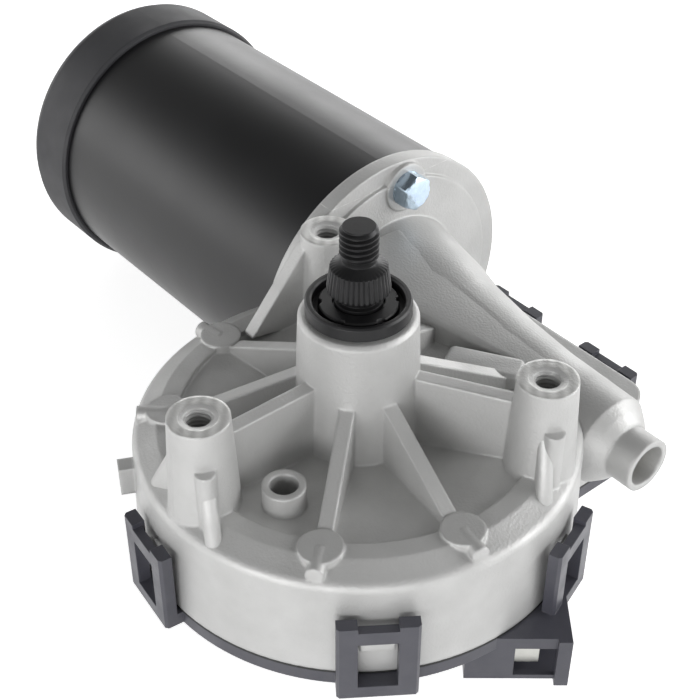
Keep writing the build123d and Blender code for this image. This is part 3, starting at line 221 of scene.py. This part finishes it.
def carry(tree, value, source, target, way="LINEAR"):
    """A value carried from its place in the source range to the same place in the target range."""
    return add(tree, "ShaderNodeMapRange", {
        "Value": value, "From Min": source[0], "From Max": source[1], "To Min": target[0], "To Max": target[1]},
        interpolation_type=way).outputs["Result"]


def put(name, data):
    """A new object in the scene."""
    thing = bpy.data.objects.new(name, data)
    bpy.context.scene.collection.objects.link(thing)
    return thing


# ---------------------------------------------------------------- camera

def set_camera():
    """The camera's right, up and back are worked out from the angles round and above, then turned by the roll."""
    a, e, r = radians(AZIMUTH), radians(ELEVATION), radians(ROLL)
    back = Vector((sin(a) * cos(e), -cos(a) * cos(e), sin(e)))
    level = Vector((cos(a), sin(a), 0))
    rise = back.cross(level)
    right = level * cos(r) + rise * sin(r)
    up = rise * cos(r) - level * sin(r)
    camera = put("camera", bpy.data.cameras.new("camera"))
    place = (right * STAND_ASIDE + up * STAND_OVER + back * STAND_BACK) * MM
    camera.matrix_world = Matrix.Translation(place) @ Matrix((right, up, back)).transposed().to_4x4()
    camera.data.lens = LENS
    camera.data.clip_start = NEAREST
    bpy.context.scene.camera = camera


set_camera()


# ---------------------------------------------------------------- finishes

def start(name):
    """An empty material with its shader, and Object coordinates, which are metres."""
    material = bpy.data.materials.new(name)
    material.use_nodes = True
    tree = material.node_tree
    place = add(tree, "ShaderNodeTexCoord", {}).outputs["Object"]
    return material, tree, tree.nodes["Principled BSDF"], place


def finish(name, colour, shade, grain, patch, metallic, rough, spread, dent, edge, coat=0.0):
    """
    A finish with two scales of variation. The colour runs from colour to shade in patches of patch mm, the
    roughness wanders by spread, a grain of grain mm stands dent mm deep, and edges are eased by edge mm.
    """
    material, tree, shader, place = start(name)
    patches = add(tree, "ShaderNodeTexNoise", {"Vector": place, "Scale": 1 / (patch * MM), "Detail": 3.0})
    speckle = add(tree, "ShaderNodeTexNoise", {"Vector": place, "Scale": 1 / (grain * MM), "Detail": 2.0})
    tone = mix(tree, "RGBA", patches.outputs["Fac"], linear(colour), linear(shade))
    gloss = carry(tree, patches.outputs["Fac"], PATCH_RANGE, (rough - spread, rough + spread))
    eased = add(tree, "ShaderNodeBevel", {"Radius": edge * MM}, samples=BEVEL_SAMPLES)
    relief = add(tree, "ShaderNodeBump", {"Height": speckle.outputs["Fac"], "Distance": dent * MM,
                                          "Strength": 1.0, "Normal": eased.outputs["Normal"]})
    tree.links.new(tone, shader.inputs["Base Color"])
    tree.links.new(gloss, shader.inputs["Roughness"])
    tree.links.new(relief.outputs["Normal"], shader.inputs["Normal"])
    shader.inputs["Metallic"].default_value = metallic
    shader.inputs["Coat Weight"].default_value = coat
    return material


# Each finish below gives its colour and shade, grain, patch, metallic, rough, spread, dent and edge, in that order.

# Pressure-cast aluminium, shot-blasted: pale, dead matt, with a fine even grain and soft cloudy patches.
blasted_aluminium = finish("blasted_aluminium_casting", "#cbcbca", "#b6b6b5", 0.60, 9.0, 0.50, 0.52, 0.05, 0.080, 0.9)
# Black stoved paint on drawn steel: near black, half glossy, with a faint orange peel.
stoved_paint = finish("black_stoved_paint", "#0f0f11", "#0a0a0c", 1.6, 20.0, 0.0, 0.36, 0.03, 0.010, 0.3)
# Glass-filled nylon from a spark-eroded mould: charcoal, matt, a little dusty on its edges.
moulded_nylon = finish("moulded_black_nylon", "#4e4e56", "#3e3e46", 0.30, 5.0, 0.0, 0.40, 0.06, 0.020, 0.25)
# The same nylon, painted blacker all over the collar as the shade of its deep, unlit dish, and a little smoother.
collar_nylon_painted_shade = finish("collar_nylon_painted_shade", "#101012", "#0b0b0d", 0.40, 4.0, 0.0, 0.42, 0.05, 0.010, 0.20)
# Soft black elastomer over the tube's end: dark grey with a dull bloom.
cap_elastomer = finish("end_cap_elastomer", "#303033", "#29292c", 0.45, 9.0, 0.0, 0.58, 0.05, 0.015, 0.40)
# Blue-passivated zinc plate on a cold-forged bolt: bright and cool.
zinc_plate = finish("blue_zinc_plate", "#cfe0ee", "#b8cbdc", 0.25, 1.5, 1.0, 0.22, 0.05, 0.006, 0.2)
# Manganese-phosphated steel: almost black, soft sheen.
phosphated_steel = finish("phosphated_steel", "#2c2c2d", "#1d1d1e", 0.20, 2.0, 0.6, 0.36, 0.06, 0.008, 0.15)
# Ground bearing steel: clean grey metal.
ground_steel = finish("ground_steel", "#a5a6a8", "#98999b", 0.15, 4.0, 1.0, 0.24, 0.04, 0.003, 0.15)
# Oil-filled sintered bronze: warm brown metal with open pores.
sintered_bronze = finish("sintered_bronze", "#a87d4d", "#8b6239", 0.30, 2.0, 1.0, 0.45, 0.06, 0.015, 0.15)
# Enamelled copper wire and drawn copper bars: red, under a clear varnish.
enamelled_copper = finish("enamelled_copper", "#a8552c", "#8a3f1f", 0.60, 3.0, 0.9, 0.35, 0.05, 0.060, 0.10, coat=0.5)
# Stamped brass strip: yellow and bright.
stamped_brass = finish("stamped_brass", "#c9a558", "#b58f45", 0.25, 3.0, 1.0, 0.30, 0.05, 0.004, 0.05)
# The same strip under hot-dipped tin: soft silver.
tinned_brass = finish("tinned_brass", "#cfcfca", "#bdbdb8", 0.25, 3.0, 1.0, 0.34, 0.05, 0.004, 0.05)
# Sintered ferrite: charcoal ceramic with ground faces.
ferrite = finish("sintered_ferrite", "#303032", "#262628", 0.25, 4.0, 0.1, 0.55, 0.08, 0.020, 0.20)
# Stacked electrical sheet: blue-grey steel.
core_sheet = finish("electrical_sheet", "#6a6d73", "#585b61", 0.50, 5.0, 1.0, 0.40, 0.06, 0.020, 0.10)
# Natural acetal, moulded: waxy ivory.
natural_acetal = finish("natural_acetal", "#e3dfcf", "#d8d3c0", 0.40, 6.0, 0.0, 0.34, 0.05, 0.006, 0.15)
# Phenolic sheet: brown, resin-bound paper.
phenolic = finish("phenolic_board", "#573822", "#452a18", 0.40, 3.0, 0.0, 0.45, 0.06, 0.010, 0.15)
# Carbon brush: black and dusty.
carbon = finish("carbon_graphite", "#1c1c1c", "#121212", 0.20, 2.0, 0.2, 0.55, 0.08, 0.015, 0.10)
# Nitrile rubber: dull black.
nitrile = finish("nitrile_rubber", "#1b1c1b", "#131413", 0.50, 4.0, 0.0, 0.62, 0.06, 0.010, 0.15)


def machine_tops(material, colour, mark, rough):
    """
    Milled mounting faces on a casting: where a point lies in the mounting plane and away from the tower, the
    colour and roughness change to those of cut metal, under fine straight cutter marks.
    """
    tree = material.node_tree
    shader = tree.nodes["Principled BSDF"]
    place = add(tree, "ShaderNodeTexCoord", {}).outputs["Object"]
    flat = add(tree, "ShaderNodeVectorMath", {0: place, 1: (1, 1, 0)}, operation="MULTIPLY").outputs["Vector"]
    reach = add(tree, "ShaderNodeVectorMath", {0: flat}, operation="LENGTH").outputs["Value"]
    height = add(tree, "ShaderNodeSeparateXYZ", {"Vector": place}).outputs["Z"]
    away = reckon(tree, "GREATER_THAN", reach, TOP_REACH * MM)
    level = reckon(tree, "COMPARE", height, 0.0, TOP_SKIN * MM)
    cut = reckon(tree, "MULTIPLY", away, level)
    marks = add(tree, "ShaderNodeTexWave", {"Vector": place, "Scale": CUTTER_MARKS, "Distortion": 1.0},
                wave_type="BANDS", bands_direction="DIAGONAL")
    bright = mix(tree, "RGBA", marks.outputs["Fac"], linear(colour), linear(mark))
    for socket, kind, milled in (("Base Color", "RGBA", bright), ("Roughness", "FLOAT", rough)):
        cast = shader.inputs[socket].links[0].from_socket
        tree.links.new(mix(tree, kind, cut, cast, milled), shader.inputs[socket])


# Face-milled aluminium on the boss tops: brighter and smoother than the blasted skin round it.
machine_tops(blasted_aluminium, "#dcdcda", "#c4c4c2", 0.34)

FINISHES = {
    "cast_aluminium": blasted_aluminium, "black_paint": stoved_paint, "black_plastic": moulded_nylon,
    "zinc_steel": zinc_plate, "black_steel": phosphated_steel, "steel": ground_steel, "bronze": sintered_bronze,
    "copper": enamelled_copper, "brass": stamped_brass, "ferrite": ferrite, "lamination": core_sheet,
    "gear_plastic": natural_acetal, "brown_plastic": phenolic, "carbon": carbon, "rubber": nitrile,
}
# The collar takes the copy of the nylon that is painted blacker for shade.
SPECIAL = {"shaft_collar": collar_nylon_painted_shade, "tube_end_cap": cap_elastomer, "connector_terminals": tinned_brass}
for subpart in frame["record"]["subparts"]:
    piece = frame["nodes"][subpart["node"]]
    piece.data.materials.clear()
    piece.data.materials.append(SPECIAL.get(subpart["node"], FINISHES[subpart["material_slot"]]))


# ---------------------------------------------------------------- made pieces

def make(name, grids, material, body):
    """
    A mesh from grids of points in mm, each [rows, columns, 3]. Columns run round and close on themselves, and
    the first and last row are closed by a flat face.
    """
    points, faces, first = [], [], 0
    for grid in grids:
        rows, columns = grid.shape[:2]
        here = first + np.arange(rows - 1)[:, None] * columns + np.arange(columns)
        beside = first + np.arange(rows - 1)[:, None] * columns + (np.arange(columns) + 1) % columns
        quads = np.stack([here, beside, beside + columns, here + columns], -1).reshape(-1, 4)
        faces += quads.tolist()
        faces.append((first + np.arange(columns)[::-1]).tolist())
        faces.append((first + (rows - 1) * columns + np.arange(columns)).tolist())
        points.append(grid.reshape(-1, 3) * MM)
        first += rows * columns
    mesh = bpy.data.meshes.new(name)
    mesh.from_pydata(np.concatenate(points), [], faces)
    mesh.shade_smooth()
    mesh.set_sharp_from_angle(angle=radians(SHARP_ANGLE))
    mesh.materials.append(material)
    piece = put(name, mesh)
    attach(piece, body)
    return piece


def make_rings(name, grids, material, body):
    """As make, for grids whose last row meets their first, so no flat faces close them."""
    piece = make(name, grids, material, body)
    form = bmesh.new()
    form.from_mesh(piece.data)
    bmesh.ops.delete(form, geom=[face for face in form.faces if len(face.verts) > 4], context="FACES_ONLY")
    bmesh.ops.remove_doubles(form, verts=form.verts, dist=1e-7)
    bmesh.ops.recalc_face_normals(form, faces=form.faces)
    form.to_mesh(piece.data)
    form.free()
    return piece


def turn_round(count):
    """Angles spread evenly over a full turn, as one row."""
    return np.linspace(0, 2 * pi, count, endpoint=False)[None, :]


def pointing(degrees):
    """A step of length 1 that many degrees round."""
    return np.array([cos(radians(degrees)), sin(radians(degrees))])


def turned(radius, height, angle):
    """Points of a turned surface: radius [rows, columns] round +Z at each height."""
    return np.stack([radius * np.cos(angle), radius * np.sin(angle), np.broadcast_to(height, radius.shape)], -1)


def fade(distance, length):
    """Climbs from 0 to 1 over a length, and stays there."""
    return np.clip(distance / length, 0, 1)


def thread(height, angle, pitch, depth):
    """
    How far a right-hand thread is cut in: a wave of period pitch up the height, which moves on by one period
    per turn, with flat crests and roots.
    """
    phase = (height / pitch - angle / (2 * pi)) % 1.0
    return depth * np.clip(THREAD_ROOT - np.abs(phase - 0.5) * THREAD_FLANK, 0.0, 1.0)


def output_shaft():
    """
    The shaft is a turned profile. The stud's radius is cut by the thread and kept under the end chamfer, and
    the cone's radius waves once for each of its teeth.
    """
    angle = turn_round(CONE_TEETH * TOOTH_POINTS)
    profile = np.array(SHAFT_PROFILE)
    fine = [np.linspace(*rows) for rows in SHAFT_ROWS]
    height = np.unique(np.concatenate([profile[:, 1], *fine]))[:, None]
    base = np.interp(height, profile[:, 1], profile[:, 0])
    on_cone = fade(height - CONE_FOOT, CONE_FADES[0]) * fade(CONE_TOP - height, CONE_FADES[1])
    teeth = TOOTH_DEPTH * np.abs(np.sin(angle * CONE_TEETH / 2)) ** TOOTH_BLUNTNESS
    cone = base - on_cone * (TOOTH_DEPTH - teeth)
    cut = fade(height - STUD_FOOT, STUD_FADE) * thread(height, angle, THREAD_PITCH, THREAD_DEPTH)
    radius = np.where(height > STUD_FOOT, np.minimum(STUD_R - cut, base), cone)
    shaft = make("threaded_output_shaft", [turned(radius, height, angle)], phosphated_steel, "output")
    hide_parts("output_shaft")


def motor_bolts():
    """
    Each bolt runs along X: a round shank, then a hexagon whose radius is the flat's distance over the cosine of
    the angle from it, kept under the cone that chamfers its top.
    """
    low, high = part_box("motor_bolts")
    end, top = low[0] / MM, high[0] / MM
    head = top - HEAD_HEIGHT
    neck = head + HEX_FLANGE_HEIGHT
    along, reach = np.array([
        (end, SHANK_R - SHANK_TIP), (end + SHANK_TIP, SHANK_R), (head, SHANK_R), (head, HEX_FLANGE_R),
        (neck, HEX_FLANGE_R), (neck, PAST_CORNERS), *((top - under, r) for under, r in HEAD_CHAMFER)]).T[:, :, None]
    angle = turn_round(BOLT_POINTS)
    hexagon = HEX_R / np.cos((angle + pi / 6) % (pi / 3) - pi / 6)
    radius = np.minimum(reach, np.where(along >= neck, hexagon, reach))
    bolts = []
    for turn in BOLT_ANGLES:
        y, z = SHAFT_MIDDLE + BOLT_CIRCLE_R * pointing(turn)
        bolts.append(np.stack([np.broadcast_to(along, radius.shape), y + radius * np.cos(angle),
                               z + radius * np.sin(angle)], -1))
    made = make("hex_motor_bolts", bolts, zinc_plate, "gearbox")
    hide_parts("motor_bolts")


def mounting_threads():
    """
    A thread in each mounting hole: an outer wall inside the metal, and an inner wall whose radius waves as the
    thread.
    """
    angle = turn_round(HOLE_POINTS)
    height = np.linspace(*HOLE_THREAD_ENDS, HOLE_ROWS)[:, None]
    crest = HOLE_R - HOLE_CREST + HOLE_THREAD_DEPTH * (1 - thread(height, angle, HOLE_PITCH, 1.0))
    inner = turned(crest, height, angle)
    outer = turned(np.full((2, HOLE_POINTS), HOLE_R + HOLE_BACK), np.array(HOLE_THREAD_ENDS[::-1])[:, None], angle)
    ring = np.concatenate([outer, inner, outer[:1]])
    grids = [ring + np.append(MOUNT_R * pointing(turn), 0.0) for turn in MOUNT_ANGLES]
    make_rings("mounting_hole_threads", grids, blasted_aluminium, "gearbox")


def collar():
    """
    The collar as one turned loop: a rim, a deep dish, and a dome over the ring inside, whose edge is cut in by
    notches spread evenly round it.
    """
    angle = turn_round(COLLAR_POINTS)
    loop = np.array(COLLAR_LOOP)
    radius, height = loop[:, :1], loop[:, 1:]
    turn = (angle - radians(COLLAR_TURN)) * COLLAR_NOTCHES / (2 * pi) % 1.0
    notch = np.clip(NOTCH_WIDTH - np.abs(turn - 0.5) * NOTCH_FLANK, 0.0, 1.0)
    on_edge = (radius > DOME_EDGE_R[0]) & (radius < DOME_EDGE_R[1]) & (height > DOME_EDGE_Z)
    radius = np.where(on_edge, radius - NOTCH_DEPTH * notch, radius)
    piece = make_rings("dished_collar", [turned(radius, height, angle)], collar_nylon_painted_shade, "gearbox")
    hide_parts("shaft_collar")


def evened(outline, step, passes):
    """A closed outline resampled every step, each point then averaged with its neighbours to round the corners."""
    closed = np.vstack([outline, outline[:1]])
    length = np.concatenate([[0], np.cumsum(np.hypot(*np.diff(closed, axis=0).T))])
    at = np.arange(0, length[-1], step)
    points = np.stack([np.interp(at, length, closed[:, 0]), np.interp(at, length, closed[:, 1])], -1)
    for _ in range(passes):
        points = (np.roll(points, 1, 0) + 2 * points + np.roll(points, -1, 0)) / 4
    return points


def inset(outline, amount):
    """An anticlockwise outline moved inwards along its own normals."""
    along = np.roll(outline, -1, 0) - np.roll(outline, 1, 0)
    along = along / np.hypot(*along.T)[:, None]
    return outline + amount * np.stack([-along[:, 1], along[:, 0]], -1)


def raised(outline, foot, top, edge):
    """
    A pad: the outline carried up from foot to top, and round at the edge. Both heights may vary from point to
    point.
    """
    rows = [np.column_stack([outline, foot + 0 * outline[:, 0]])]
    for lean in np.linspace(0, pi / 2, EDGE_ROWS):
        flat = inset(outline, edge * (1 - cos(lean)))
        rows.append(np.column_stack([flat, top - edge * (1 - sin(lean)) + 0 * flat[:, 0]]))
    return np.stack(rows)


def cast_pads():
    """The flat beside the tunnel, which carries the tunnel's crest line over, and the small pad before it."""
    flat = evened(np.array(FLAT_OUTLINE), *FLAT_EVENED)
    foot = np.interp(flat[:, 1], FOOT_CLIMB, (FLAT_FOOT, FLAT_FOOT_AT_TUNNEL))
    crest = SHAFT_MIDDLE[1] + np.interp(flat[:, 0], *zip(*TUNNEL_CREST))
    start, end = np.array(PAD_START), np.array(PAD_END)
    along = (end - start) / np.hypot(*(end - start))
    aside = np.array([-along[1], along[0]]) * PAD_R
    past = along * PAD_PAST
    corners = np.array([start - aside - past, end - aside + past, end + aside + past, start + aside - past])
    pad = evened(corners, *PAD_EVENED)
    grids = [raised(flat, foot, crest, FLAT_EDGE), raised(pad, FLAT_FOOT, PAD_TOP, PAD_EDGE)]
    make("cast_pads", grids, blasted_aluminium, "gearbox")


def boss_fins():
    """Each fin is a slot-shaped section from the boss's axis outwards, which grows longer down to the shoulder."""
    angle = turn_round(FIN_POINTS)[0]
    ahead, across = np.cos(angle)[:, None], np.sin(angle)[:, None]
    grids = []
    for boss, way in BOSS_FINS:
        axis, out = MOUNT_R * pointing(boss), pointing(way)
        side = np.array([-out[1], out[0]])
        rows = []
        for height, reach in FIN_SECTIONS:
            centre = np.where(ahead > 0, reach - FIN_HALF, 0.0) * out
            section = centre + FIN_HALF * (ahead * out + across * side)
            rows.append(np.column_stack([axis + section, np.full(angle.size, height)]))
        grids.append(np.stack(rows))
    make("boss_fins", grids, blasted_aluminium, "gearbox")


output_shaft()
motor_bolts()
mounting_threads()
collar()
cast_pads()
boss_fins()


# ---------------------------------------------------------------- studio

def lay_floor():
    """
    A pale floor under the lowest point. It glows to the camera and in reflections, so that it looks white, and
    is clear from below.
    """
    material, tree, shader, place = start("pale_studio_floor")
    path = add(tree, "ShaderNodeLightPath", {})
    seen = reckon(tree, "MAXIMUM", path.outputs["Is Camera Ray"], path.outputs["Is Glossy Ray"])
    tint = add(tree, "ShaderNodeTexNoise", {"Vector": place, "Scale": 3.0, "Detail": 1.0})
    tone = mix(tree, "RGBA", tint.outputs["Fac"], linear("#f6f6f6"), linear("#f3f3f3"))
    tree.links.new(tone, shader.inputs["Base Color"])
    shader.inputs["Roughness"].default_value = 0.9
    glow = add(tree, "ShaderNodeEmission", {"Color": (1, 1, 1, 1), "Strength": FLOOR_GLOW})
    both = add(tree, "ShaderNodeAddShader", {0: shader.outputs[0], 1: glow.outputs[0]})
    shown = add(tree, "ShaderNodeMixShader", {0: seen, 1: shader.outputs[0], 2: both.outputs[0]})
    below = add(tree, "ShaderNodeNewGeometry", {}).outputs["Backfacing"]
    clear = add(tree, "ShaderNodeBsdfTransparent", {})
    sided = add(tree, "ShaderNodeMixShader", {0: below, 1: shown.outputs[0], 2: clear.outputs[0]})
    tree.links.new(sided.outputs[0], tree.nodes["Material Output"].inputs["Surface"])
    half, level = FLOOR_HALF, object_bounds()[0][2] - FLOOR_GAP
    mesh = bpy.data.meshes.new("floor")
    mesh.from_pydata([(-half, -half, level), (half, -half, level), (half, half, level), (-half, half, level)],
                     [], [(0, 1, 2, 3)])
    mesh.materials.append(material)
    put("floor", mesh)


def light_surround():
    """A surround that is white to the camera, and for light and shine dims from the horizon to a dark ceiling."""
    world = bpy.data.worlds.new("white_surround")
    world.use_nodes = True
    tree = world.node_tree
    path = add(tree, "ShaderNodeLightPath", {})
    seen = reckon(tree, "MAXIMUM", path.outputs["Is Camera Ray"], path.outputs["Is Transmission Ray"])
    direction = add(tree, "ShaderNodeTexCoord", {}).outputs["Generated"]
    height = add(tree, "ShaderNodeSeparateXYZ", {"Vector": direction}).outputs["Z"]
    dimming = carry(tree, height, LIGHT_HEIGHTS, (HORIZON_LIGHT, CEILING_LIGHT), "SMOOTHSTEP")
    shine = carry(tree, height, SHINE_HEIGHTS, (1.0, CEILING_SHINE), "SMOOTHSTEP")
    strength = mix(tree, "FLOAT", path.outputs["Is Glossy Ray"], dimming, shine)
    level = mix(tree, "FLOAT", seen, strength, 1.0)
    tree.links.new(level, tree.nodes["Background"].inputs["Strength"])
    tree.nodes["Background"].inputs["Color"].default_value = (1, 1, 1, 1)
    bpy.context.scene.world = world


def lamp(name, towards, distance, wide, high, watts):
    """A soft box on the line towards, facing the middle of the gearbox."""
    light = bpy.data.lights.new(name, "AREA")
    light.shape = "RECTANGLE"
    light.size = wide
    light.size_y = high
    light.energy = watts
    box = put(name, light)
    direction = Vector(towards).normalized()
    box.location = Vector(LAMP_AIM) + direction * distance
    box.rotation_mode = "QUATERNION"
    box.rotation_quaternion = direction.to_track_quat("Z", "Y")
    box.visible_camera = False


lay_floor()
light_surround()
for name, values in LAMPS.items():
    lamp(name, *values)

bpy.context.scene.view_settings.view_transform = "Standard"
